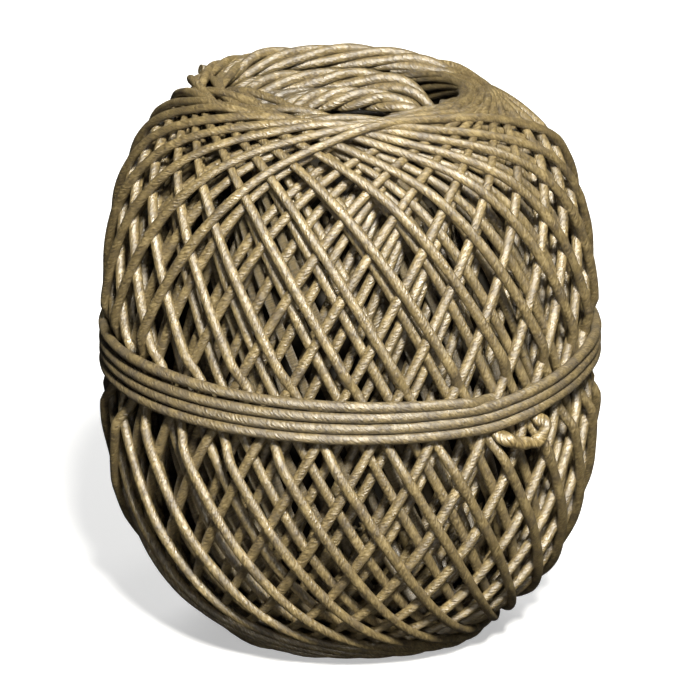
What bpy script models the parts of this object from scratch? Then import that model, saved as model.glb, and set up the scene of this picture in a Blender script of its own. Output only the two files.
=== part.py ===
"""A machine-wound ball of packing twine, standing on one end.

Three pieces: the cross-wound ball with the hole that its spindle left, four tight turns
side by side round the waist, and the loose end that is tucked under those turns.
Metres, +Z up. The origin is at the middle of the flat ring that the ball rests on,
and the front of the ball faces -Y. Angles round the ball are measured from the front
towards +X.
"""

import math

import bmesh
import bpy
from mathutils import Vector

# Twine
TWINE_DIAMETER = 0.0019
LOOSE_END_DIAMETER = 0.0023
GAP = 0.0003
WOUND_COLOUR = (0.43, 0.35, 0.23)
WAIST_COLOUR = (0.46, 0.38, 0.25)
LOOSE_COLOUR = (0.50, 0.42, 0.29)
WOUND_ROUGHNESS = 0.42
WAIST_ROUGHNESS = 0.45
LOOSE_ROUGHNESS = 0.48

# Wound ball
BALL_DIAMETER = 0.0956
MIDDLE_HEIGHT = 0.0556
UPPER_HEIGHT = 0.0538
LOWER_HEIGHT = 0.0544
UPPER_FULLNESS = 3.1
LOWER_FULLNESS = 2.75
RIM_RADIUS = 0.0285
HOLE_RADIUS = 0.0088
HOLE_HEIGHTS = (0.0860, 0.0660, 0.0440)
BALL_STEPS = 80
SHOULDER_POINTS = 12

# Wreaths of bunched turns round each end of the hole, and the flat ring it stands on
OUTER_WREATH_RADIUS = 0.0212
OUTER_WREATH_THICKNESS = 0.0060
OUTER_WREATH_ARC_DEG = (142.0, 38.0)
OUTER_WREATH_SINK = 0.4
INNER_WREATH_RADIUS = 0.0137
INNER_WREATH_THICKNESS = 0.0054
INNER_WREATH_ARC_DEG = (172.0, 62.0)
INNER_WREATH_DROP = 0.0022
WREATH_POINTS = 5
WREATH_TWISTS = 21
WREATH_RELIEF = 0.00035
BASE_RING_RADIUS = 0.0215
BASE_FLAT_WIDTH = 0.0060
BASE_ROUNDING = 0.0034
BASE_ARC_DEG = (250.0, 190.0)
BASE_POINTS = 3

# The soft mouth has sagged: the top of the hole lies to the right and towards the back,
# and the turns round it lean to the left and slope down to the right
MOUTH_SHIFT = 0.0150
MOUTH_SHIFT_DEG = 118.0
MOUTH_REACH = 0.0310
MOUTH_DEPTH = 0.0620
LEAN = 0.0032
LEAN_START = 0.0420
LEAN_FULL = 0.0580
SLANT_DEG = 2.5

# Main turns, which lean one way on top and the other way beneath
MAIN_TURNS = 12
TURN_RELIEF = 0.0011
UNDER_TURN_SHARE = 0.5
LEVEL_OF_TURNS = 0.4
PLAIN_HALF_HEIGHT = 0.0074
RELIEF_FADE = 0.0080

# Waist turns
WAIST_HEIGHT = 0.0573
WAIST_TURN_COUNT = 4
WAIST_PITCH = 0.0024
WAIST_STEPS = 56
WAIST_PRESS = 0.0007
WAIST_EDGE_SHARE = 0.6
PRESSED_HALF_HEIGHT = 0.0062
LOBE_POINTS = 4
LOBE_HALF_ANGLE_DEG = 62.0

# Loose end: a U-shaped loop below the waist turns, with both legs tucked under them
LOOP_MIDDLE_DEG = 41.3
LOOP_WIDTH = 0.0124
LOOP_DROP = 0.0077
LOOP_SLOPE = 0.25
LEG_TOP = 0.0012
LOOP_CORNER_RADIUS = 0.0042
CORNER_POINTS = 7
LOOP_LIFT_START = 0.0055
LOOP_LIFT_END = 0.0074
LOOSE_END_POINTS = 18
STEPS_PER_STRETCH = 12
GROOVE_ROOM = 1.15 * GAP

CURVE_BEVEL_STEPS = 2
TURNING_MERGE = 0.00005
CAP_MERGE = 0.00001

BALL_RADIUS = BALL_DIAMETER / 2
TWINE_RADIUS = TWINE_DIAMETER / 2
LOOSE_END_RADIUS = LOOSE_END_DIAMETER / 2
RIM_HEIGHT = MIDDLE_HEIGHT + UPPER_HEIGHT
WAIST_INNER_RADIUS = BALL_RADIUS - WAIST_PRESS + GAP


def clear_scene():
    for old in list(bpy.data.objects):
        bpy.data.objects.remove(old, do_unlink=True)


def new_collection(name, hidden=False):
    collection = bpy.data.collections.new(name)
    collection.hide_render = hidden
    bpy.context.scene.collection.children.link(collection)
    return collection


def twine_material(name, colour, roughness):
    material = bpy.data.materials.new(name)
    material.use_nodes = True
    shader = material.node_tree.nodes["Principled BSDF"]
    shader.inputs["Base Color"].default_value = (*colour, 1.0)
    shader.inputs["Roughness"].default_value = roughness
    shader.inputs["Metallic"].default_value = 0.0
    return material


def add_object(name, data, collection, material=None):
    made = bpy.data.objects.new(name, data)
    collection.objects.link(made)
    if material is not None:
        made.data.materials.append(material)
    return made


def apply_modifiers(source):
    """The evaluated mesh of an object as plain data; the object itself is removed."""
    bpy.context.view_layer.update()
    graph = bpy.context.evaluated_depsgraph_get()
    mesh = bpy.data.meshes.new_from_object(source.evaluated_get(graph))
    bpy.data.objects.remove(source, do_unlink=True)
    return mesh


def turned_mesh(name, outline, steps, collection):
    """An outline of (radius, height) points, closed on itself, turned round the Z axis."""
    profile = bpy.data.meshes.new(name)
    shape = bmesh.new()
    corners = [shape.verts.new((radius, 0.0, height)) for radius, height in outline]
    for here, there in zip(corners, corners[1:] + corners[:1]):
        shape.edges.new((here, there))
    shape.to_mesh(profile)
    shape.free()
    turned = add_object(name, profile, collection)
    screw = turned.modifiers.new("turn", "SCREW")
    screw.steps = steps
    screw.render_steps = steps
    screw.use_merge_vertices = True
    screw.merge_threshold = TURNING_MERGE
    return apply_modifiers(turned)


def arc(centre, radius, angles_deg, count):
    """Points on an arc in the (radius, height) plane, both ends included."""
    start, end = angles_deg
    points = []
    for index in range(count):
        angle = math.radians(start + (end - start) * index / (count - 1))
        points.append((centre[0] + radius * math.cos(angle), centre[1] + radius * math.sin(angle)))
    return points


def eased(share):
    """0 to 1 with soft ends."""
    share = max(0.0, min(1.0, share))
    return share * share * (3 - 2 * share)


# Wound ball


def wall_radius(share, fullness):
    """Radius of the wound wall at a share of the way from the middle to the rim."""
    fall = (BALL_RADIUS**2 - RIM_RADIUS**2) * share**fullness
    return math.sqrt(BALL_RADIUS**2 - fall)


def shoulder(height, fullness):
    """Points of one half of the wall, from the rim to just short of the middle."""
    points = []
    for index in range(SHOULDER_POINTS):
        share = math.cos(math.radians(90) * index / SHOULDER_POINTS)
        points.append((wall_radius(share, fullness), height * share))
    return points


def beside_waist_turns(points):
    """Those points of the wall that the waist turns don't press in."""
    return [point for point in points if abs(point[1] - WAIST_HEIGHT) > PRESSED_HALF_HEIGHT + GAP]


def ball_outline():
    """The wall from the mouth, down the outside, across the base and back up the hole."""
    outer_radius = OUTER_WREATH_THICKNESS / 2
    inner_radius = INNER_WREATH_THICKNESS / 2
    outer_centre = (OUTER_WREATH_RADIUS, RIM_HEIGHT - OUTER_WREATH_SINK * outer_radius)
    inner_centre = (INNER_WREATH_RADIUS, outer_centre[1] - INNER_WREATH_DROP)
    points = [(HOLE_RADIUS, inner_centre[1] - 2 * inner_radius)]
    points += arc(inner_centre, inner_radius, INNER_WREATH_ARC_DEG, WREATH_POINTS)
    points += arc(outer_centre, outer_radius, OUTER_WREATH_ARC_DEG, WREATH_POINTS)
    upper = [(radius, MIDDLE_HEIGHT + height) for radius, height in shoulder(UPPER_HEIGHT, UPPER_FULLNESS)]
    points += beside_waist_turns(upper)
    points.append((BALL_RADIUS - WAIST_PRESS, WAIST_HEIGHT + PRESSED_HALF_HEIGHT))
    points.append((BALL_RADIUS - WAIST_PRESS, WAIST_HEIGHT - PRESSED_HALF_HEIGHT))
    lower = [(radius, MIDDLE_HEIGHT - height) for radius, height in shoulder(LOWER_HEIGHT, LOWER_FULLNESS)]
    points += beside_waist_turns(reversed(lower))
    flat_outside = BASE_RING_RADIUS + BASE_FLAT_WIDTH / 2
    flat_inside = BASE_RING_RADIUS - BASE_FLAT_WIDTH / 2
    points += [(flat_outside, 0.0), (flat_inside, 0.0)]
    points += arc((flat_inside, BASE_ROUNDING), BASE_ROUNDING, BASE_ARC_DEG, BASE_POINTS)
    points.append((HOLE_RADIUS, 2 * BASE_ROUNDING))
    points += [(HOLE_RADIUS, height) for height in reversed(HOLE_HEIGHTS)]
    return points


def swing(height, half_height):
    """Angle that a wound turn makes round the ball between the rim and this height."""
    share = max(-1.0, min(1.0, height / half_height))
    sideways = math.sqrt(1 - share**2)
    return math.atan2(BALL_RADIUS * sideways, RIM_RADIUS * share)


def turn_relief(angle, height):
    """How far the main turns stand out of the wall at this place."""
    above = height - MIDDLE_HEIGHT
    half_height = UPPER_HEIGHT if above > 0 else LOWER_HEIGHT
    lean = swing(above, half_height)
    over = math.cos(MAIN_TURNS * (angle - lean))
    under = UNDER_TURN_SHARE * math.cos(MAIN_TURNS * (angle + lean))
    from_waist = (abs(height - WAIST_HEIGHT) - PLAIN_HALF_HEIGHT) / RELIEF_FADE
    from_rim = (half_height - abs(above)) / RELIEF_FADE
    fade = max(0.0, min(1.0, from_waist, from_rim))
    return TURN_RELIEF * fade * (max(over, under) - LEVEL_OF_TURNS)


def press_in_turns(mesh):
    """Moves the turned wall's points so that the main turns and the wreath twists show."""
    for corner in mesh.vertices:
        place = corner.co
        radius = math.hypot(place.x, place.y)
        angle = math.atan2(place.x, -place.y)
        if radius > RIM_RADIUS - GAP:
            grown = radius + turn_relief(angle, place.z)
            place.x *= grown / radius
            place.y *= grown / radius
        elif place.z > RIM_HEIGHT - INNER_WREATH_THICKNESS:
            across = (radius - INNER_WREATH_RADIUS) / OUTER_WREATH_THICKNESS
            twist = math.cos(WREATH_TWISTS * angle + math.pi * across)
            place.z += WREATH_RELIEF * twist


def let_mouth_sag(mesh):
    """Moves the top of the hole aside, and leans the turns round it."""
    aside = math.radians(MOUTH_SHIFT_DEG)
    slope = math.tan(math.radians(SLANT_DEG))
    for corner in mesh.vertices:
        place = corner.co
        inward = max(0.0, 1 - (place.x**2 + place.y**2) / MOUTH_REACH**2)
        upward = eased(1 - (RIM_HEIGHT - place.z) / MOUTH_DEPTH)
        shift = MOUTH_SHIFT * inward**2 * upward
        lean = max(0.0, (place.z - MIDDLE_HEIGHT - LEAN_START) / (LEAN_FULL - LEAN_START))
        place.z -= lean * slope * place.x
        place.x += shift * math.sin(aside) - LEAN * lean**2
        place.y -= shift * math.cos(aside)


def build_wound_ball(parts, material, groove_cutter):
    mesh = turned_mesh("ball_profile", ball_outline(), BALL_STEPS, parts)
    press_in_turns(mesh)
    let_mouth_sag(mesh)
    mesh.shade_smooth()
    ball = add_object("wound_ball", mesh, parts, material)
    groove = ball.modifiers.new("tuck_groove", "BOOLEAN")
    groove.operation = "DIFFERENCE"
    groove.solver = "EXACT"
    groove.object = groove_cutter
    return ball


# Waist turns


def waist_outline():
    """Four round strands side by side, flat on the inside, as one closed outline."""
    points = []
    centre_radius = WAIST_INNER_RADIUS + TWINE_RADIUS
    top = WAIST_PITCH * (WAIST_TURN_COUNT - 1) / 2
    lobe = (LOBE_HALF_ANGLE_DEG, -LOBE_HALF_ANGLE_DEG)
    for index in range(WAIST_TURN_COUNT):
        centre = (centre_radius, WAIST_HEIGHT + top - WAIST_PITCH * index)
        points += arc(centre, TWINE_RADIUS, lobe, LOBE_POINTS)
    edge = top + WAIST_EDGE_SHARE * TWINE_RADIUS
    points.append((WAIST_INNER_RADIUS, WAIST_HEIGHT - edge))
    points.append((WAIST_INNER_RADIUS, WAIST_HEIGHT + edge))
    return points


def build_waist_turns(parts, material):
    mesh = turned_mesh("waist_profile", waist_outline(), WAIST_STEPS, parts)
    mesh.shade_smooth()
    return add_object("waist_turns", mesh, parts, material)


# Loose end


def loop_flat_points():
    """The loop opened flat: (distance round the ball, height from the waist turns).
    It hangs lower on its right."""
    half = LOOP_WIDTH / 2
    corner = LOOP_CORNER_RADIUS
    left = arc((-half + corner, -LOOP_DROP + corner), corner, (180, 270), CORNER_POINTS)
    right = arc((half - corner, -LOOP_DROP + corner), corner, (270, 360), CORNER_POINTS)
    points = [(-half, LEG_TOP), (-half, 0.0)] + left + right + [(half, 0.0), (half, LEG_TOP)]
    return [(across, height - LOOP_SLOPE * across) for across, height in points]


def loop_place(across, height):
    """A point of the flat loop laid round the ball: in the wall behind the waist turns,
    and on the wall where it shows below them."""
    buried = WAIST_INNER_RADIUS - GAP - LOOSE_END_RADIUS
    shown = BALL_RADIUS + TURN_RELIEF + GAP + LOOSE_END_RADIUS
    lifted = eased((-height - LOOP_LIFT_START) / (LOOP_LIFT_END - LOOP_LIFT_START))
    radius = buried + (shown - buried) * lifted
    angle = math.radians(LOOP_MIDDLE_DEG) + across / BALL_RADIUS
    return Vector((radius * math.sin(angle), -radius * math.cos(angle), WAIST_HEIGHT + height))


def even_points(path, count):
    """Points at even distances along a path of many short steps."""
    lengths = [0.0]
    for here, there in zip(path, path[1:]):
        lengths.append(lengths[-1] + (there - here).length)
    chosen = []
    step = 0
    for index in range(count):
        wanted = lengths[-1] * index / (count - 1)
        while step < len(path) - 2 and lengths[step + 1] < wanted:
            step += 1
        share = (wanted - lengths[step]) / (lengths[step + 1] - lengths[step])
        chosen.append(path[step].lerp(path[step + 1], min(1.0, share)))
    return chosen


def loose_end_route():
    """The loop's centre line, read at even steps from fine points on its curves."""
    flat = loop_flat_points()
    fine = []
    for (across, height), (next_across, next_height) in zip(flat, flat[1:]):
        for part in range(STEPS_PER_STRETCH):
            share = part / STEPS_PER_STRETCH
            here = across + (next_across - across) * share
            there = height + (next_height - height) * share
            fine.append(loop_place(here, there))
    fine.append(loop_place(*flat[-1]))
    return even_points(fine, LOOSE_END_POINTS)


def tube_data(name, route, radius):
    curve = bpy.data.curves.new(name, "CURVE")
    curve.dimensions = "3D"
    curve.bevel_depth = radius
    curve.bevel_resolution = CURVE_BEVEL_STEPS
    curve.use_fill_caps = True
    spline = curve.splines.new("POLY")
    spline.points.add(len(route) - 1)
    for point, place in zip(spline.points, route):
        point.co = (*place, 1.0)
    return curve


def build_loose_end(parts, material):
    data = tube_data("loose_end", loose_end_route(), LOOSE_END_RADIUS)
    return add_object("loose_end", data, parts, material)


def build_groove_cutter(cutters):
    """A fatter copy of the loose end, which presses its groove into the ball."""
    route = loose_end_route()
    data = tube_data("groove_path", route, LOOSE_END_RADIUS + GROOVE_ROOM)
    mesh = apply_modifiers(add_object("groove_path", data, cutters))
    shape = bmesh.new()
    shape.from_mesh(mesh)
    bmesh.ops.remove_doubles(shape, verts=shape.verts, dist=CAP_MERGE)
    for cap in (route[0], route[-1]):
        ends = [v for v in shape.verts if (v.co - cap).length < LOOSE_END_RADIUS + 2 * GAP]
        bmesh.ops.translate(shape, verts=ends, vec=Vector((0.0, 0.0, GAP)))
    bmesh.ops.recalc_face_normals(shape, faces=shape.faces)
    shape.to_mesh(mesh)
    shape.free()
    cutter = add_object("groove_cutter", mesh, cutters)
    cutter.hide_render = True
    cutter.display_type = "WIRE"
    return cutter


def main():
    clear_scene()
    parts = new_collection("twine_ball")
    cutters = new_collection("cutters", hidden=True)
    wound = twine_material("wound_twine", WOUND_COLOUR, WOUND_ROUGHNESS)
    waist = twine_material("waist_twine", WAIST_COLOUR, WAIST_ROUGHNESS)
    loose = twine_material("loose_twine", LOOSE_COLOUR, LOOSE_ROUGHNESS)
    cutter = build_groove_cutter(cutters)
    build_wound_ball(parts, wound, cutter)
    build_waist_turns(parts, waist)
    build_loose_end(parts, loose)


main()
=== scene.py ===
# A machine-wound ball of packing twine standing on one end.
# The winding is laid turn by turn, and each turn is drawn tight over the ones below it.

import math

import bmesh
import bpy
import numpy as np
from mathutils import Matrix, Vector


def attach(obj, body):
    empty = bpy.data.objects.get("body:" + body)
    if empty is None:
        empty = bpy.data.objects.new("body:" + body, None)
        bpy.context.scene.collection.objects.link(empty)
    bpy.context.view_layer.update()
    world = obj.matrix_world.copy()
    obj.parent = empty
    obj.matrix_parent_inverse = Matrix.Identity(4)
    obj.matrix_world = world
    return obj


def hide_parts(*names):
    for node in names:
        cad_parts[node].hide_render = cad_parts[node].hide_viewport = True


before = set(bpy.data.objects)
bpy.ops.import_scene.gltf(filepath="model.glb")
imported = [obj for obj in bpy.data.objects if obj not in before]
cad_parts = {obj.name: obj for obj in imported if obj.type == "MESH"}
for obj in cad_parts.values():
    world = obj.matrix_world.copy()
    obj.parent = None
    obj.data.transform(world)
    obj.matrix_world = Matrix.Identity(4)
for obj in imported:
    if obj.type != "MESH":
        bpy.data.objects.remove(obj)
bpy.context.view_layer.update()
mm = 0.001

studio = {
    "distance": 1.0,            # from the aim point
    "elevation": 18.5,          # degrees
    "aimHeight": 55.6 * mm,
    "lens": 261.0,
    "clipStart": 0.01,
    "lightAim": (0, 0, 0.06),
    "floorReach": 30.0,
    "floorColour": (0.80, 0.80, 0.79),
    "floorRoughness": 0.9,
    "floorGlow": 0.45,          # a lit table, which keeps the shadow pale
    "worldLight": 0.02,
}

lights = [
    {
        "name": "keyLight", "place": (0.12, -0.74, 0.72), "size": 0.18, "watts": 27.0,
        "colour": (1.0, 0.98, 0.93), "glints": True,
    },
    {
        "name": "fillLight", "place": (0.1, -0.95, 0.05), "size": 0.35, "watts": 2.3,
        "colour": (1.0, 0.98, 0.94), "glints": True,
    },
    {
        "name": "topLight", "place": (0.1, 0.15, 1.05), "size": 0.3, "watts": 1.0,
        "colour": (1, 1, 1), "glints": True,
    },
    {
        "name": "backLight", "place": (0.0, 0.95, 0.3), "size": 0.6, "watts": 10.0,
        "colour": (1, 1, 1), "glints": False,   # so it leaves none on the ball's rim
    },
]


def addCamera():
    camera = bpy.data.objects.new("photoCamera", bpy.data.cameras.new("photoCamera"))
    bpy.context.scene.collection.objects.link(camera)
    lift = math.radians(studio["elevation"])
    away = Vector((0, -math.cos(lift), math.sin(lift))) * studio["distance"]
    aim = Vector((0, 0, studio["aimHeight"]))
    camera.location = aim + away
    camera.rotation_euler = (-away).to_track_quat("-Z", "Y").to_euler()
    camera.data.lens = studio["lens"]
    camera.data.clip_start = studio["clipStart"]
    bpy.context.scene.camera = camera


def addSoftLight(light):
    lamp = bpy.data.lights.new(light["name"], "AREA")
    lamp.shape = "DISK"
    lamp.size = light["size"]
    lamp.energy = light["watts"]
    lamp.color = light["colour"]
    holder = bpy.data.objects.new(light["name"], lamp)
    bpy.context.scene.collection.objects.link(holder)
    holder.location = light["place"]
    toward = Vector(studio["lightAim"]) - Vector(light["place"])
    holder.rotation_euler = toward.to_track_quat("-Z", "Y").to_euler()
    holder.visible_glossy = light["glints"]


def addFloor():
    shape = bmesh.new()
    bmesh.ops.create_grid(shape, x_segments=2, y_segments=2, size=studio["floorReach"])
    mesh = bpy.data.meshes.new("studioFloor")
    shape.to_mesh(mesh)
    shape.free()
    floor = bpy.data.objects.new("studioFloor", mesh)
    bpy.context.scene.collection.objects.link(floor)
    material = bpy.data.materials.new("studioFloor")
    material.use_nodes = True
    shader = material.node_tree.nodes["Principled BSDF"]
    shader.inputs["Base Color"].default_value = (*studio["floorColour"], 1)
    shader.inputs["Roughness"].default_value = studio["floorRoughness"]
    shader.inputs["Emission Color"].default_value = (1, 1, 1, 1)
    shader.inputs["Emission Strength"].default_value = studio["floorGlow"]
    mesh.materials.append(material)
    floor.visible_diffuse = False
    floor.visible_glossy = False


def addStudio():
    addCamera()
    for light in lights:
        addSoftLight(light)
    world = bpy.data.worlds.new("studioWorld")
    bpy.context.scene.world = world
    world.use_nodes = True
    background = world.node_tree.nodes["Background"]
    background.inputs["Color"].default_value = (1, 1, 1, 1)
    background.inputs["Strength"].default_value = studio["worldLight"]
    bpy.context.scene.view_settings.view_transform = "Standard"
    addFloor()


addStudio()
print("studio ready")

twine = {
    "diameter": 1.9 * mm,
    "lay": 9.0,                 # mm along the strand for one full twist
    "unevenness": 0.05,         # of the width, along the strand
    "foldsAround": 2.2,         # coarseness of the film's folds, round the strand
    "foldsAlong": 1.25,         # the same along it, for each mm
    # the strand's colours; the folds' pattern picks them, so the fold hollows are darker (painted
    # shade) and the ridges paler (painted light)
    "colour": (0.168, 0.121, 0.047),
    "paleColour": (0.33, 0.25, 0.118),
    "darkColour": (0.076, 0.051, 0.018),
    "foldDetail": 3.0,
    "foldRoughness": 0.55,
    "foldHeight": 0.38 * mm,
    "patchScale": 0.22,         # of the lighter and duller lengths of film, for each mm
    "patchDetail": 3.0,
    "patchShare": 0.38,         # of the patches in the colour, beside the folds
    "darkTo": 0.36,             # where on the mixed pattern each colour is reached
    "middleAt": 0.5,
    "paleFrom": 0.64,
    "gloss": 0.40,              # roughness
    "dullPatch": 0.12,          # more or less rough than that, by the patches
    "brightPatch": 0.08,
    "patchLow": 0.35,
    "patchHigh": 0.65,
    "specular": 1.0,
    "bending": 1.68,            # the film's index of refraction
}


def twineMaterial(name, length, tone, lay=twine["lay"], gloss=twine["gloss"]):
    # a crumpled film twisted into a strand; its folds follow the strand's own UV map
    material = bpy.data.materials.new(name)
    material.use_nodes = True
    tree = material.node_tree
    shader = tree.nodes["Principled BSDF"]
    link = tree.links.new

    def node(kind, **settings):
        made = tree.nodes.new(kind)
        for key, value in settings.items():
            setattr(made, key, value)
        return made

    def maths(operation, first, second=None):
        made = node("ShaderNodeMath", operation=operation)
        for socket, value in zip(made.inputs, (first, second)):
            if isinstance(value, (int, float)):
                socket.default_value = value
            elif value is not None:
                link(value, socket)
        return made.outputs[0]

    uv = node("ShaderNodeUVMap", uv_map="UVMap")
    parts = node("ShaderNodeSeparateXYZ")
    link(uv.outputs["UV"], parts.inputs["Vector"])
    along = maths("MULTIPLY", parts.outputs["X"], length / mm)
    twist = maths("MULTIPLY", along, 2 * math.pi / lay)
    turn = maths("ADD", maths("MULTIPLY", parts.outputs["Y"], 2 * math.pi), twist)
    # a point on a unit circle for the way round, so that the folds have no seam
    foldPlace = node("ShaderNodeCombineXYZ")
    link(maths("COSINE", turn), foldPlace.inputs["X"])
    link(maths("SINE", turn), foldPlace.inputs["Y"])
    link(maths("MULTIPLY", along, twine["foldsAlong"] / twine["foldsAround"]), foldPlace.inputs["Z"])
    folds = node("ShaderNodeTexNoise", noise_dimensions="3D")
    folds.inputs["Scale"].default_value = twine["foldsAround"]
    folds.inputs["Detail"].default_value = twine["foldDetail"]
    folds.inputs["Roughness"].default_value = twine["foldRoughness"]
    link(foldPlace.outputs[0], folds.inputs["Vector"])
    patches = node("ShaderNodeTexNoise", noise_dimensions="1D")
    patches.inputs["Scale"].default_value = twine["patchScale"]
    patches.inputs["Detail"].default_value = twine["patchDetail"]
    link(along, patches.inputs["W"])
    # the colour follows the folds' height: darker in their hollows and paler on their ridges, as
    # painted shade and light, mixed with the film's own lighter and duller lengths
    shade = node("ShaderNodeMix", data_type="FLOAT")
    shade.inputs["Factor"].default_value = twine["patchShare"]
    link(folds.outputs["Fac"], shade.inputs["A"])
    link(patches.outputs["Fac"], shade.inputs["B"])
    ramp = node("ShaderNodeValToRGB")
    ramp.color_ramp.elements.new(twine["middleAt"])
    dark, middle, pale = ramp.color_ramp.elements
    dark.position = twine["darkTo"]
    pale.position = twine["paleFrom"]
    dark.color = (*[c * tone for c in twine["darkColour"]], 1)
    middle.color = (*[c * tone for c in twine["colour"]], 1)
    pale.color = (*[c * tone for c in twine["paleColour"]], 1)
    link(shade.outputs["Result"], ramp.inputs["Fac"])
    link(ramp.outputs["Color"], shader.inputs["Base Color"])
    rough = node("ShaderNodeMapRange")
    rough.inputs["From Min"].default_value = twine["patchLow"]
    rough.inputs["From Max"].default_value = twine["patchHigh"]
    rough.inputs["To Min"].default_value = gloss + twine["dullPatch"]
    rough.inputs["To Max"].default_value = gloss - twine["brightPatch"]
    link(patches.outputs["Fac"], rough.inputs["Value"])
    link(rough.outputs["Result"], shader.inputs["Roughness"])
    bump = node("ShaderNodeBump")
    bump.inputs["Strength"].default_value = 1.0
    bump.inputs["Distance"].default_value = twine["foldHeight"]
    link(folds.outputs["Fac"], bump.inputs["Height"])
    link(bump.outputs["Normal"], shader.inputs["Normal"])
    shader.inputs["Specular IOR Level"].default_value = twine["specular"]
    shader.inputs["IOR"].default_value = twine["bending"]
    return material


def strandSection(name, sides, diameter, lobes=2, depth=0.0):
    # the outline of one strand, as a closed curve that bevels every strand; lobes are its plies
    curve = bpy.data.curves.new(name, "CURVE")
    curve.dimensions = "2D"
    spline = curve.splines.new("POLY")
    spline.points.add(sides - 1)
    spline.use_cyclic_u = True
    for index, point in enumerate(spline.points):
        angle = 2 * math.pi * index / sides
        reach = diameter / 2 * (1 + depth * math.cos(lobes * angle))
        point.co = (reach * math.cos(angle), reach * math.sin(angle), 0, 1)
    section = bpy.data.objects.new(name, curve)
    bpy.context.scene.collection.objects.link(section)
    section.hide_render = True
    section.hide_viewport = True
    return section


def runAlong(places):
    steps = np.linalg.norm(np.diff(places, axis=0), axis=1)
    return np.concatenate([[0.0], np.cumsum(steps)])


def evenPlaces(places, count):
    # the same line, with its points at even steps
    run = runAlong(places)
    wanted = np.linspace(0, run[-1], count)
    return np.stack([np.interp(wanted, run, places[:, axis]) for axis in range(3)], axis=1)


def ease(values, softness, **edges):
    # softens the bends in a row of values
    kernel = np.hanning(2 * softness + 3)[1:-1]
    return np.convolve(np.pad(values, softness, **edges), kernel / kernel.sum(), mode="valid")


def softStep(share):
    share = np.clip(share, 0, 1)
    return share * share * (3 - 2 * share)


def unevenWidth(run, chance, unevenness, reach=4 * mm):
    # a smooth random width along the strand
    count = int(run[-1] / reach) + 3
    marks = chance.normal(0, unevenness, count)
    return np.interp(run / reach, np.arange(count), marks) + 1


def layStrand(name, routes, section, radii=None, lay=None):
    # one curve of open strands through the routes, each an array of points in metres
    curve = bpy.data.curves.new(name, "CURVE")
    curve.dimensions = "3D"
    curve.bevel_mode = "OBJECT"
    curve.bevel_object = section
    curve.use_fill_caps = True
    for number, places in enumerate(routes):
        spline = curve.splines.new("POLY")
        count = len(places)
        spline.points.add(count - 1)
        spline.use_smooth = True
        flat = np.ones((count, 4), np.float32)
        flat[:, :3] = places
        spline.points.foreach_set("co", flat.ravel())
        if lay is not None:
            twist = 2 * math.pi * runAlong(places) / lay
            spline.points.foreach_set("tilt", twist.astype(np.float32))
        if radii is not None:
            spline.points.foreach_set("radius", radii[number].astype(np.float32))
    holder = bpy.data.objects.new(name, curve)
    bpy.context.scene.collection.objects.link(holder)
    return holder


def becomeMesh(holder):
    bpy.context.view_layer.update()
    graph = bpy.context.evaluated_depsgraph_get()
    mesh = bpy.data.meshes.new_from_object(holder.evaluated_get(graph))
    name = holder.name
    bpy.data.objects.remove(holder, do_unlink=True)
    made = bpy.data.objects.new(name, mesh)
    bpy.context.scene.collection.objects.link(made)
    mesh.shade_smooth()
    return made


def finishPiece(piece, material, node):
    piece.data.materials.clear()
    piece.data.materials.append(material)
    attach(piece, "root")
    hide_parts(node)
    print(piece.name, "done")


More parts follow.
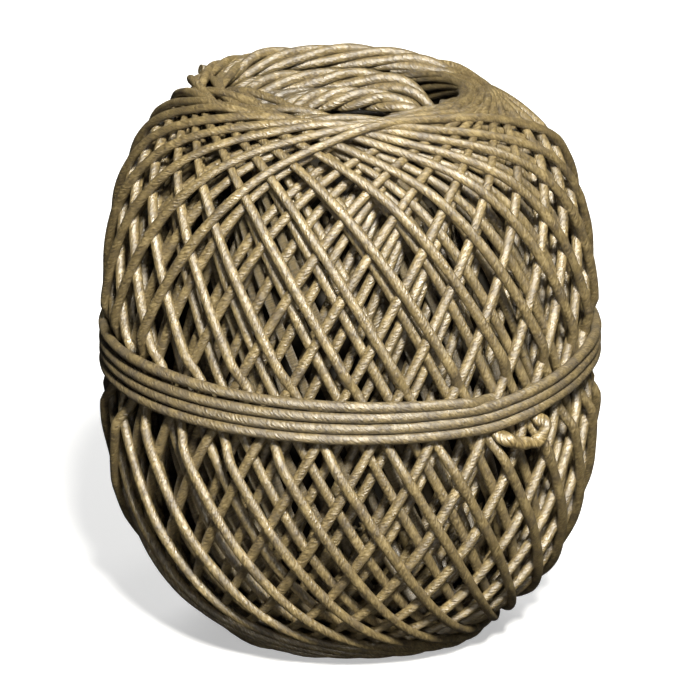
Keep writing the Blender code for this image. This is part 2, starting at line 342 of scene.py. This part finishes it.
# Each circuit goes once round the ball. Its tilt is the angle between the hole's axis and
# the plane of its turns, in degrees, so a small tilt passes close to the hole.
winding = {
    "seed": 11,
    "middle": 56 * mm,
    "tilts": [8.6, 11.5, 14.8, 18.4, 22.0, 24.8, 27.0],
    "turnsPerCircuit": 27.45,
    "lastTangent": 30.0,        # where the last turn touches the mouth, degrees right of the front
    "samplesPerTurn": 360,
    "stampLag": 40,             # samples before a laid strand holds up later ones
    "drawEvery": 2,             # only every second sample is drawn
    "shortestRun": 4,           # drawn samples; shorter stretches are left off
    "coarseSides": 10,          # of the strands deep in the ball
    "coarseWidth": 1.92 * mm,
    "fineSides": 16,            # of the strands that show
    "fineWidth": 1.98 * mm,
    "circuitEasing": 0.08,      # of a circuit, in which the next tilt is reached
    "coreRadius": 26.9 * mm,    # the form under the first strands
    "coreUpper": 38.2 * mm,     # its height above and below the middle
    "coreLower": 39.0 * mm,
    "coreBeyond": 80 * mm,      # a distance that is outside it everywhere
    "upperFullness": 3.4,       # how square its shoulders are
    "lowerFullness": 2.7,
    "upperRim": 27.6 * mm,      # its radius at its ends
    "lowerRim": 27.8 * mm,
    "nest": 0.86,               # how far crossing strands bed into each other
    "endNest": 0.51,            # the same in the bunched turns at the ends
    "endThinning": 0.19,        # strands are drawn thinner towards the ends
    "thinFrom": 54,             # degrees from the hole's axis
    "thinFade": 22,
    "bunchTo": 42,              # degrees from the hole's axis
    "bunchFade": 14,
    "softness": 7,              # samples over which a bend is eased
    "nearest": 34 * mm,         # strands come no nearer to the ball's middle
    "raisedColumns": 24,        # cells to each side of a strand that it may raise
    "pitchPlay": 0.10,          # unevenness of the step between turns, in steps
    "tiltPlay": 0.5,            # unevenness of the tilt, in degrees
    "leanFrom": 42 * mm,        # above the middle, where the top starts to lean
    "leanTo": 58 * mm,
    "lean": 1.6 * mm,           # to the left
    "sway": 0.012,              # the whole ball's slope to the left
    # how much wider the finished ball is at these heights (mm) than the wound form
    "girthHeights": [0, 8, 20, 30, 45, 62, 80, 95, 104, 112],
    "girths": [1.03, 0.966, 0.97, 0.992, 1.0, 0.992, 0.988, 0.988, 1.0, 1.045],
    "slant": 2.5,               # degrees, the top falls to the right
    "mouthShift": 13 * mm,      # the soft mouth has sagged, so the hole's top lies aside
    "mouthShiftFacing": 118,    # degrees right of the front
    "mouthReach": 31 * mm,
    "mouthDepth": 62 * mm,
    "mouthRim": 109.4 * mm,
    "footFrom": 14 * mm,        # below this height the ball has settled onto the floor
    "footDrop": 0.95 * mm,
    "floorGap": 0.84 * mm,      # the lowest strands are pressed flat on the floor
    "endsFrom": 24 * mm,        # above and below the middle, where the innermost circuits start to show
    "innerTop": 37 * mm,        # above the middle, where the innermost circuits end
    "slumpFrom": 44 * mm,       # the same of the turns that have slumped
    "diveLength": 9 * mm,       # the last strand ends under the waist turns
    "diveDepth": 2.2 * mm,
}

# the field of how far out the ball reaches: rows by angle from the hole's axis, columns round it
polarStep = math.radians(0.4)
roundStep = math.radians(0.5)
polarCells = int(round(math.pi / polarStep)) + 1
roundCells = int(round(2 * math.pi / roundStep))


def coreDistance(polar):
    # distance of the core's surface from the ball's middle, by the angle from the hole's axis
    down = np.abs(np.cos(polar))
    out = np.abs(np.sin(polar))
    height = np.where(polar <= math.pi / 2, winding["coreUpper"], winding["coreLower"])
    low = np.zeros_like(polar)
    high = np.full_like(polar, winding["coreBeyond"])
    rim = np.where(polar <= math.pi / 2, winding["upperRim"], winding["lowerRim"])
    fullness = np.where(polar <= math.pi / 2, winding["upperFullness"], winding["lowerFullness"])
    spread = winding["coreRadius"] ** 2 - rim ** 2
    for halving in range(40):
        middle = (low + high) / 2
        share = np.minimum(1.0, middle * down / height)
        wall = np.sqrt(winding["coreRadius"] ** 2 - spread * share ** fullness)
        outside = (middle * out > wall) | (middle * down > height)
        high = np.where(outside, middle, high)
        low = np.where(outside, low, middle)
    return low


def directions(swing, tilt, facing):
    # unit directions from the ball's middle to the points of a turn: swing is the way along it
    across = np.sin(swing)
    forward = np.sin(tilt) * np.cos(swing)
    up = np.cos(tilt) * np.cos(swing)
    x = across * np.cos(facing) + forward * np.sin(facing)
    y = across * np.sin(facing) - forward * np.cos(facing)
    return np.stack([x, y, up], axis=1)


def readField(field, toward):
    # how far out the ball reaches already, in each direction
    polar = np.arccos(np.clip(toward[:, 2], -1, 1)) / polarStep
    facing = (np.arctan2(toward[:, 1], toward[:, 0]) % (2 * math.pi)) / roundStep
    row = np.clip(np.floor(polar).astype(int), 0, polarCells - 2)
    column = np.floor(facing).astype(int)
    rowShare = polar - row
    columnShare = facing - column
    near = column % roundCells
    far = (column + 1) % roundCells
    upper = field[row, near] * (1 - columnShare) + field[row, far] * columnShare
    lower = field[row + 1, near] * (1 - columnShare) + field[row + 1, far] * columnShare
    return upper * (1 - rowShare) + lower * rowShare


def raiseField(field, toward, distance):
    # a laid strand keeps later strands a strand's thickness away from its centre line
    polar = np.arccos(np.clip(toward[:, 2], -1, 1))
    fromEnd = np.degrees(np.minimum(polar, math.pi - polar))
    bunched = np.clip((winding["bunchTo"] - fromEnd) / winding["bunchFade"], 0, 1)
    reach = twine["diameter"] * (winding["nest"] + (winding["endNest"] - winding["nest"]) * bunched)
    facing = np.arctan2(toward[:, 1], toward[:, 0]) % (2 * math.pi)
    rowReach = int(math.ceil(twine["diameter"] / winding["nearest"] / polarStep))
    columnReach = winding["raisedColumns"]
    rowsBeside = np.arange(-rowReach, rowReach + 1)[None, :]
    columnsBeside = np.arange(-columnReach, columnReach + 1)[None, :]
    rows = np.round(polar / polarStep).astype(int)[:, None] + rowsBeside
    rows = np.clip(rows, 0, polarCells - 1)
    columns = np.round(facing / roundStep).astype(int)[:, None] + columnsBeside
    cellPolar = rows * polarStep
    cellFacing = columns * roundStep
    cosine = (np.cos(cellPolar)[:, :, None] * np.cos(polar)[:, None, None]
              + np.sin(cellPolar)[:, :, None] * np.sin(polar)[:, None, None]
              * np.cos(cellFacing[:, None, :] - facing[:, None, None]))
    beside = distance[:, None, None] ** 2 * (1 - np.minimum(cosine, 1) ** 2)
    room = reach[:, None, None] ** 2 - beside
    lifted = np.where(room > 0, distance[:, None, None] * cosine + np.sqrt(np.maximum(room, 0)), 0)
    flatRows = np.broadcast_to(rows[:, :, None], lifted.shape)
    flatColumns = np.broadcast_to(columns[:, None, :] % roundCells, lifted.shape)
    chosen = lifted > 0
    np.maximum.at(field, (flatRows[chosen], flatColumns[chosen]), lifted[chosen])


def drawTight(swing, support):
    # a taut line round a whole turn: the hull of its supports, in the turn's own plane
    x = support * np.cos(swing)
    y = support * np.sin(swing)
    order = np.lexsort((y, x))

    def chain(indices):
        kept = []
        for index in indices:
            while len(kept) > 1:
                a, b = kept[-2], kept[-1]
                if (x[b] - x[a]) * (y[index] - y[a]) - (y[b] - y[a]) * (x[index] - x[a]) > 0:
                    break
                kept.pop()
            kept.append(index)
        return kept

    hull = chain(order)[:-1] + chain(order[::-1])[:-1]
    angles = np.arctan2(y[hull], x[hull]) % (2 * math.pi)
    hull = np.array(hull)[np.argsort(angles)]
    angles = np.sort(angles)
    wanted = swing % (2 * math.pi)
    after = np.searchsorted(angles, wanted) % len(hull)
    before = (after - 1) % len(hull)
    ax, ay = x[hull[before]], y[hull[before]]
    bx, by = x[hull[after]], y[hull[after]]
    cross = ax * by - ay * bx
    span = np.cos(wanted) * (by - ay) - np.sin(wanted) * (bx - ax)
    return np.where(np.abs(span) > 1e-12, cross / np.where(np.abs(span) > 1e-12, span, 1), support)


def windBall():
    # lays every turn of the ball in order, and gives the points and each point's circuit
    chance = np.random.default_rng(winding["seed"])
    perTurn = winding["samplesPerTurn"]
    circuits = len(winding["tilts"])
    turns = int(round(circuits * winding["turnsPerCircuit"]))
    quarter = perTurn // 4
    total = turns * perTurn + quarter
    swing = 2 * math.pi * np.arange(total + perTurn) / perTurn
    pitch = 2 * math.pi / winding["turnsPerCircuit"]
    turnNumber = swing / (2 * math.pi)
    play = np.interp(turnNumber, np.arange(turns + 3), chance.normal(0, 1, turns + 3))
    turnsToLast = turnNumber - turns + winding["pitchPlay"] * play
    facing = math.radians(winding["lastTangent"]) + pitch * turnsToLast
    circuit = np.minimum(turnNumber / winding["turnsPerCircuit"], circuits - 0.001)
    tilts = np.array(winding["tilts"])
    whole = np.floor(circuit).astype(int)
    easing = np.clip((circuit - whole) / winding["circuitEasing"], 0, 1)
    earlier = tilts[np.maximum(whole - 1, 0)]
    tiltMarks = chance.normal(0, winding["tiltPlay"], turns + 3)
    tiltNoise = np.interp(turnNumber, np.arange(turns + 3), tiltMarks)
    tilt = np.radians(earlier + (tilts[whole] - earlier) * easing + tiltNoise)
    toward = directions(swing, tilt, facing)
    polars = np.arange(polarCells) * polarStep
    field = np.repeat((coreDistance(polars) + twine["diameter"] / 2)[:, None], roundCells, axis=1)
    distance = np.zeros(total + perTurn)
    half = perTurn // 2
    stamped = 0
    for start in range(0, total, half):
        ready = max(0, start - winding["stampLag"])
        if ready > stamped:
            raiseField(field, toward[stamped:ready], distance[stamped:ready])
            stamped = ready
        window = np.arange(start - quarter, start + half + quarter)
        support = readField(field, toward[np.maximum(window, 0)])
        laid = (window < start) & (window >= 0)
        support[laid] = distance[window[laid]]
        tight = drawTight(2 * math.pi * window / perTurn, support)
        tight[laid] = distance[window[laid]]
        eased = ease(tight, winding["softness"], mode="edge")
        distance[start:start + half] = eased[quarter:quarter + half]
    points = toward[:total] * distance[:total, None]
    toEnd = runAlong(points[::-1])[::-1]
    diving = softStep(1 - toEnd / winding["diveLength"])
    points *= (1 - winding["diveDepth"] * diving / distance[:total])[:, None]
    footOf = np.floor(turnNumber + 0.5) / winding["turnsPerCircuit"]
    return points, np.minimum(footOf.astype(int), circuits - 1)[:total]


waist = {
    "middle": 57.2 * mm,
    "radius": 48.4 * mm,        # of the strands' middle
    "pressedRadius": 46.3 * mm,  # the band draws the winding in to this
    "pressHeight": 4.6 * mm,
    "pressFade": 10 * mm,
    "pressPlay": 4.5 * mm,
    "pressSoft": 0.8 * mm,
    "diameter": 2.05 * mm,
    "sides": 16,
    "start": 122,               # where the strand comes out of the winding, degrees right of the front
    "end": 36,                  # where it goes under its neighbour again, four turns on
    "dive": 8,
    "diveDepth": 2.1 * mm,
    "steps": 300,               # for each turn
    "softness": 6,              # steps over which a bend is eased
    "unevenness": 0.03,
    "tone": 0.78,
    "gloss": 0.5,
    # heights above the band's middle in mm, at these places round the front, for each turn
    "marks": [-73, -45, -19, 0, 24, 32, 40, 48, 60, 72],
    "heights": [
        [-2.3, -2.6, -2.9, -3.2, -3.5, -3.7, -3.2, -2.3, -1.3, -0.4],
        [0.2, -0.3, -0.8, -1.1, -1.4, -1.6, -0.9, -0.3, 0.8, 1.9],
        [2.2, 1.9, 1.4, 1.1, 0.7, 0.5, 1.1, 1.8, 3.0, 4.2],
        [5.0, 4.8, 3.8, 3.3, 2.5, 1.6, 0.6, 0.2, 0.0, 0.0],
    ],
}


def settle(points):
    # the finished ball leans a little at the top, is drawn in at the waist and stands flat
    height = points[:, 2].copy()
    inward = np.clip(1 - (points[:, 0] ** 2 + points[:, 1] ** 2) / winding["mouthReach"] ** 2, 0, None)
    upward = softStep(1 - (winding["mouthRim"] - winding["middle"] - height) / winding["mouthDepth"])
    shift = winding["mouthShift"] * inward ** 2 * upward
    aside = math.radians(winding["mouthShiftFacing"])
    share = np.clip((height - winding["leanFrom"]) / (winding["leanTo"] - winding["leanFrom"]), 0, None)
    points[:, 2] -= share * points[:, 0] * math.tan(math.radians(winding["slant"]))
    points[:, 0] += shift * math.sin(aside) - winding["lean"] * share ** 2
    points[:, 0] -= winding["sway"] * height
    points[:, 1] -= shift * math.cos(aside)
    points[:, 2] += winding["middle"]
    girth = np.interp(points[:, 2] / mm, winding["girthHeights"], winding["girths"])
    points[:, :2] *= girth[:, None]
    out = np.hypot(points[:, 0], points[:, 1])
    beside = np.abs(points[:, 2] - waist["middle"])
    near = softStep(1 - (beside - waist["pressHeight"]) / waist["pressFade"])
    room = waist["pressedRadius"] + waist["pressPlay"] * (1 - near)
    over = out - room
    softly = waist["pressSoft"]
    touching = np.where(over > -softly, (over + softly) ** 2 / (4 * softly), 0)
    pressed = np.where(over > softly, over, touching)
    drawn = 1 - np.where(near > 0, pressed, 0) / np.maximum(out, mm)
    points[:, :2] *= drawn[:, None]
    points[:, 2] -= winding["footDrop"] * softStep(1 - points[:, 2] / winding["footFrom"])
    points[:, 2] = np.maximum(points[:, 2], winding["floorGap"])
    return points


def shownRuns(points, layer):
    # the stretches of a circuit that show: none of the inner ones round the ball's middle
    # or at the mouth, and none where turns have slumped into the mouth
    above = points[:, 2] - winding["middle"]
    shows = np.ones(len(points), bool)
    if layer["inner"]:
        shows = (np.abs(above) > winding["endsFrom"]) & (above < winding["innerTop"])
    if layer["slump"]:
        x, y, reach = np.array(layer["slump"]) * mm
        aside = np.hypot(points[:, 0] - x, points[:, 1] - y)
        shows &= (above < winding["slumpFrom"]) | (aside > reach)
    runs = np.split(np.arange(len(points)), np.flatnonzero(np.diff(shows.astype(int))) + 1)
    return [points[run] for run in runs if len(run) > winding["shortestRun"] and shows[run[0]]]


def strandWidth(places, chance):
    # uneven, and drawn thinner where the turns bunch at the ball's ends
    outward = np.hypot(places[:, 0], places[:, 1])
    fromEnd = np.degrees(np.arctan2(outward, np.abs(places[:, 2] - winding["middle"])))
    thinned = winding["endThinning"] * softStep((winding["thinFrom"] - fromEnd) / winding["thinFade"])
    return unevenWidth(runAlong(places), chance, twine["unevenness"]) * (1 - thinned)


def layCircuit(index, route, chance):
    layer = layers[index]
    routes = shownRuns(route[::winding["drawEvery"]], layer)
    radii = [strandWidth(places, chance) for places in routes]
    section = fineSection if layer["fine"] else coarseSection
    piece = becomeMesh(layStrand(f"windingLayer{index + 1}", routes, section, radii))
    length = max(runAlong(places)[-1] for places in routes)
    material = twineMaterial(f"twineLayer{index + 1}", length, layer["tone"])
    finishPiece(piece, material, "wound_ball")


# From the innermost circuit outwards. inner: left off where outer circuits hide it.
# slump: centre and reach, in mm, of the part of the mouth where its turns have slumped
# into the bunches. fine: drawn with more sides. tone: scales its colour; the deeper
# circuits are darker, as painted shade for their depth.
layers = [
    {"inner": True, "slump": None, "fine": False, "tone": 0.6},
    {"inner": True, "slump": None, "fine": False, "tone": 0.75},
    {"inner": True, "slump": None, "fine": False, "tone": 0.9},
    {"inner": False, "slump": (-6, 0, 24), "fine": False, "tone": 0.65},
    {"inner": False, "slump": (-15, 10, 10), "fine": True, "tone": 0.85},
    {"inner": False, "slump": None, "fine": True, "tone": 0.95},
    {"inner": False, "slump": None, "fine": True, "tone": 1.0},
]
chance = np.random.default_rng(5)    # for every strand's uneven width
points, circuitOf = windBall()
points = settle(points)
print("wound; top at", points[:, 2].max() / mm, "mm")
coarseSection = strandSection("coarseSection", winding["coarseSides"], winding["coarseWidth"])
fineSection = strandSection("fineSection", winding["fineSides"], winding["fineWidth"])
for index in range(len(layers)):
    layCircuit(index, points[circuitOf == index], chance)


# The innermost turns have slumped over the mouth in three twisted bunches, with more
# loose turns under them. Points in mm, chosen from the photograph's ridges.
# tone scales each bunch's colour: the low bunch under the others is darkest, and the top bunches are a
# little darker, as painted shade
bunches = [
    {
        "name": "farBunch", "strands": 5, "reach": 1.6 * mm, "pitch": 40 * mm,
        "width": 0.98, "tone": 0.9,
        "points": [
            (-29, 8, 101), (-24, 13.5, 107.8), (-17.5, 17.5, 109.8), (-8, 20.5, 109.9),
            (2, 22, 109.4), (9.9, 21.5, 108.8), (16, 19.2, 107.6), (22, 15.5, 105), (27, 10, 99),
        ],
    },
    {
        "name": "middleBunch", "strands": 4, "reach": 1.4 * mm, "pitch": 32 * mm,
        "width": 1.0, "tone": 0.88,
        "points": [
            (-27, 2.5, 100), (-23.5, 3.6, 105.5), (-19, 5.2, 107.8), (-11.8, 8, 108.3), (1, 9, 108.4),
            (8, 7.4, 108.1), (13, 4.6, 106.6), (15.8, 2.2, 102), (18, -1, 95), (21, -5, 86),
        ],
    },
    {
        "name": "nearBunch", "strands": 4, "reach": 1.35 * mm, "pitch": 20 * mm,
        "width": 1.02, "tone": 0.9,
        "points": [
            (-18, -5.5, 99), (-14.5, -5.2, 104.3), (-9.9, -4.5, 107.1), (-4, -3.5, 108),
            (4.9, -3.7, 107.9), (10.4, -5.4, 106.8), (14.2, -7.8, 103.8), (17, -11, 97), (19, -14, 88),
        ],
    },
    {
        "name": "lowBunch", "strands": 10, "reach": 3.4 * mm, "pitch": 70 * mm,
        "width": 1.0, "tone": 0.5,
        "points": [
            (-27, 1, 96), (-22, 2.5, 101.5), (-14, 3.5, 103.6), (-4, 4, 103.8), (4, 3.6, 103),
            (9, 3, 100.5), (12, 2.2, 94), (15, 0, 84), (17, -2, 74),
        ],
    },
]
bunching = {
    "steps": 90,
    "softness": 9,              # steps over which a corner is eased
    "marks": 9,                 # places along it where the strands' play is drawn
    "turnPlay": 0.12,
    "reachPlay": 0.07,
    "endReach": 0.55,           # the strands come together at the bunch's ends
    "endOpening": 1.8,
}


def smoothLine(points, count, softness):
    # an even line through a few points, with its corners eased
    line = evenPlaces(np.array(points, float), count)
    eased = [ease(line[:, axis], softness, mode="reflect", reflect_type="odd") for axis in range(3)]
    return np.stack(eased, axis=1)


def bunchRoutes(bunch):
    line = smoothLine(np.array(bunch["points"]) * mm, bunching["steps"], bunching["softness"])
    ahead = np.gradient(line, axis=0)
    ahead /= np.linalg.norm(ahead, axis=1)[:, None]
    up = np.array([0, 0, 1.0]) - ahead * ahead[:, 2:3]
    up /= np.linalg.norm(up, axis=1)[:, None]
    near = np.cross(ahead, up)
    run = runAlong(line)
    marks = np.linspace(0, run[-1], bunching["marks"])
    fromEnd = np.minimum(run, run[-1] - run) / run[-1]
    routes = []
    for number in range(bunch["strands"]):
        play = np.interp(run, marks, chance.normal(0, bunching["turnPlay"], bunching["marks"]))
        angle = 2 * math.pi * (number / bunch["strands"] + run / bunch["pitch"]) + play
        reachPlay = np.interp(run, marks, chance.normal(0, bunching["reachPlay"], bunching["marks"]))
        reach = bunch["reach"] * (1 + reachPlay)
        reach *= softStep(bunching["endReach"] + bunching["endOpening"] * fromEnd)
        aside = np.cos(angle)[:, None] * near + np.sin(angle)[:, None] * up
        routes.append(line + reach[:, None] * aside)
    return routes


def makeBunch(bunch):
    routes = bunchRoutes(bunch)
    widths = [unevenWidth(runAlong(route), chance, twine["unevenness"]) for route in routes]
    radii = [bunch["width"] * width for width in widths]
    piece = becomeMesh(layStrand(bunch["name"], routes, fineSection, radii))
    length = max(runAlong(route)[-1] for route in routes)
    material = twineMaterial(bunch["name"], length, bunch["tone"])
    finishPiece(piece, material, "wound_ball")


for bunch in bunches:
    makeBunch(bunch)

# one strand's cut end stands up at the left of the mouth
cutEnd = {
    "points": [(-22, 14.5, 105.8), (-26, 14.2, 108.2), (-29.4, 12.8, 109.4)],
    "steps": 14,
    "softness": 3,
    "tone": 0.6,
}


def makeCutEnd():
    route = smoothLine(np.array(cutEnd["points"]) * mm, cutEnd["steps"], cutEnd["softness"])
    piece = becomeMesh(layStrand("cutEnd", [route], fineSection))
    material = twineMaterial("cutEnd", runAlong(route)[-1], cutEnd["tone"])
    finishPiece(piece, material, "wound_ball")


makeCutEnd()

core = {
    "sink": 0.4 * mm,           # it lies this far under the first strands
    "swell": 8.8 * mm,          # and stands for the hidden circuits round its middle
    "swellTo": 1.6,             # where the swell has faded, in heights of endsFrom
    "holeRadius": 7.6 * mm,
    "outlineSteps": 90,
    "holeSteps": 12,
    "sides": 120,
    "bandScale": 70.0,
    "bandWaver": 3.0,
    # near-black colours: painted shade where the deep strands lie
    "darkColour": (0.010, 0.008, 0.004, 1),
    "paleColour": (0.050, 0.038, 0.020, 1),
    "roughness": 0.7,
}


def coreOutline():
    # the core's section, from the top of the hole outwards, down the wall and back to the hole
    polar = np.radians(np.linspace(1, 179, core["outlineSteps"]))
    reach = coreDistance(polar) - core["sink"]
    height = reach * np.cos(polar)
    swelling = softStep(core["swellTo"] - np.abs(height) / winding["endsFrom"])
    radius = reach * np.sin(polar) + core["swell"] * swelling
    outside = radius > core["holeRadius"]
    radius = radius[outside]
    height = height[outside]
    wall = np.linspace(height[-1], height[0], core["holeSteps"])
    radius = np.concatenate([radius, np.full(core["holeSteps"], core["holeRadius"])])
    return radius, np.concatenate([height, wall])


def makeCore():
    # the inside of the ball, coloured near-black as painted shade, which shows only between the strands
    # and in the hole
    radius, height = coreOutline()
    count = len(radius)
    shape = bmesh.new()
    corners = [shape.verts.new((r, 0, h)) for r, h in zip(radius, height)]
    edges = [shape.edges.new((corners[i], corners[(i + 1) % count])) for i in range(count)]
    bmesh.ops.spin(shape, geom=corners + edges, axis=(0, 0, 1), cent=(0, 0, 0), steps=core["sides"],
                   angle=2 * math.pi, use_merge=True)
    bmesh.ops.recalc_face_normals(shape, faces=shape.faces)
    mesh = bpy.data.meshes.new("woundCore")
    shape.to_mesh(mesh)
    shape.free()
    places = np.zeros(len(mesh.vertices) * 3, np.float32)
    mesh.vertices.foreach_get("co", places)
    settled = settle(places.reshape(-1, 3).astype(float))
    mesh.vertices.foreach_set("co", settled.ravel().astype(np.float32))
    mesh.shade_smooth()
    piece = bpy.data.objects.new("woundCore", mesh)
    bpy.context.scene.collection.objects.link(piece)
    finishPiece(piece, coreShadeMaterial(), "wound_ball")


def coreShadeMaterial():
    # painted shade: the deep strands, coloured near-black with dark slanting bands, as the shade
    # between and under the outer strands
    material = bpy.data.materials.new("woundCore")
    material.use_nodes = True
    tree = material.node_tree
    shader = tree.nodes["Principled BSDF"]
    place = tree.nodes.new("ShaderNodeTexCoord")
    bands = tree.nodes.new("ShaderNodeTexWave")
    bands.bands_direction = "DIAGONAL"
    bands.inputs["Scale"].default_value = core["bandScale"]
    bands.inputs["Distortion"].default_value = core["bandWaver"]
    ramp = tree.nodes.new("ShaderNodeValToRGB")
    ramp.color_ramp.elements[0].color = core["darkColour"]
    ramp.color_ramp.elements[1].color = core["paleColour"]
    tree.links.new(place.outputs["Object"], bands.inputs["Vector"])
    tree.links.new(bands.outputs["Fac"], ramp.inputs["Fac"])
    tree.links.new(ramp.outputs["Color"], shader.inputs["Base Color"])
    shader.inputs["Roughness"].default_value = core["roughness"]
    return material


makeCore()


def waistRoute():
    # one strand in four turns; the turns meet one another behind the ball
    turns = len(waist["heights"])
    marks = np.concatenate([np.array(waist["marks"]) + 360 * turn for turn in range(turns)])
    heights = np.concatenate(waist["heights"]) * mm
    azimuth = np.arange(waist["start"] - 360, 360 * (turns - 1) + waist["end"], 360 / waist["steps"])
    height = ease(np.interp(azimuth, marks, heights), waist["softness"], mode="edge")
    underStart = softStep(1 - (azimuth - azimuth[0]) / waist["dive"])
    underEnd = softStep(1 - (azimuth[-1] - azimuth) / waist["dive"])
    radius = waist["radius"] - waist["diveDepth"] * (underStart + underEnd)
    angle = np.radians(azimuth)
    return np.stack([radius * np.sin(angle), -radius * np.cos(angle), waist["middle"] + height], axis=1)


def makeWaistTurns():
    route = waistRoute()
    share = waist["diameter"] / twine["diameter"]
    radii = unevenWidth(runAlong(route), chance, waist["unevenness"]) * share
    piece = becomeMesh(layStrand("waistStrand", [route], roundSection, [radii]))
    material = twineMaterial("waistTwine", runAlong(route)[-1], waist["tone"], gloss=waist["gloss"])
    finishPiece(piece, material, "waist_turns")


roundSection = strandSection("roundSection", waist["sides"], twine["diameter"])
makeWaistTurns()

loose = {
    "diameter": 2.3 * mm,
    "middle": 41.0,             # degrees right of the front
    "waistHeight": 57.3 * mm,
    "width": 11.6 * mm,
    "drop": 7.7 * mm,
    "slope": 0.25,              # it hangs lower on its right
    "leftEnd": [(-11.4, 0.2), (-8.6, -0.2), (-6.9, -1.0)],     # hidden behind the waist turns, mm
    "rightEnd": [(6.3, -2.8), (6.5, -1.2), (7.4, 0.6)],
    "corner": 4.2 * mm,
    "cornerSteps": 7,
    "liftStart": 4.3 * mm,
    "liftEnd": 6.1 * mm,
    "liftSlope": 0.113,
    "ballRadius": 47.8 * mm,
    "buriedRadius": 45.95 * mm,
    "shownRadius": 50.35 * mm,
    "steps": 96,
    "stepsPerCorner": 12,       # finer, while it is laid round the ball
    "layLength": 10 * mm,
    "sides": 20,
    "plyWidth": 1.02,           # a little wider over both plies than the cord
    "plies": 2,
    "plyDepth": 0.15,
    "unevenness": 0.04,
    "tone": 1.3,
    "foldLay": 20.0,
    "gloss": 0.34,
}


def looseFlat():
    # the loop opened flat: distance round the ball, height above the waist turns' middle
    half = loose["width"] / 2
    corner = loose["corner"]
    turn = np.radians(np.linspace(180, 270, loose["cornerSteps"]))
    across = -half + corner + corner * np.cos(turn)
    height = -loose["drop"] + corner + corner * np.sin(turn)
    left = np.stack([across, height], axis=1)
    right = left[::-1] * (-1, 1)
    flat = np.concatenate([left, right])
    flat[:, 1] -= loose["slope"] * flat[:, 0]
    return np.concatenate([np.array(loose["leftEnd"]) * mm, flat, np.array(loose["rightEnd"]) * mm])


def looseRoute():
    # the loop laid round the ball: behind the waist turns at both ends, out over the ball between
    flat = looseFlat()
    corners = np.arange(len(flat))
    fine = np.linspace(0, len(flat) - 1, loose["stepsPerCorner"] * (len(flat) - 1) + 1)
    across = np.interp(fine, corners, flat[:, 0])
    height = np.interp(fine, corners, flat[:, 1])
    below = -height + loose["liftSlope"] * across
    lifted = softStep((below - loose["liftStart"]) / (loose["liftEnd"] - loose["liftStart"]))
    radius = loose["buriedRadius"] + (loose["shownRadius"] - loose["buriedRadius"]) * lifted
    angle = math.radians(loose["middle"]) + across / loose["ballRadius"]
    x = radius * np.sin(angle)
    y = -radius * np.cos(angle)
    return evenPlaces(np.stack([x, y, loose["waistHeight"] + height], axis=1), loose["steps"])


def makeLooseEnd():
    route = looseRoute()
    radii = unevenWidth(runAlong(route), chance, loose["unevenness"])
    piece = becomeMesh(layStrand("looseEnd", [route], plySection, [radii], loose["layLength"]))
    length = float(runAlong(route)[-1])
    material = twineMaterial("looseTwine", length, loose["tone"], loose["foldLay"], loose["gloss"])
    finishPiece(piece, material, "loose_end")


plyDiameter = loose["diameter"] * loose["plyWidth"]
plySection = strandSection("plySection", loose["sides"], plyDiameter, loose["plies"], loose["plyDepth"])
makeLooseEnd()

for section in (coarseSection, fineSection, roundSection, plySection):
    bpy.data.objects.remove(section, do_unlink=True)
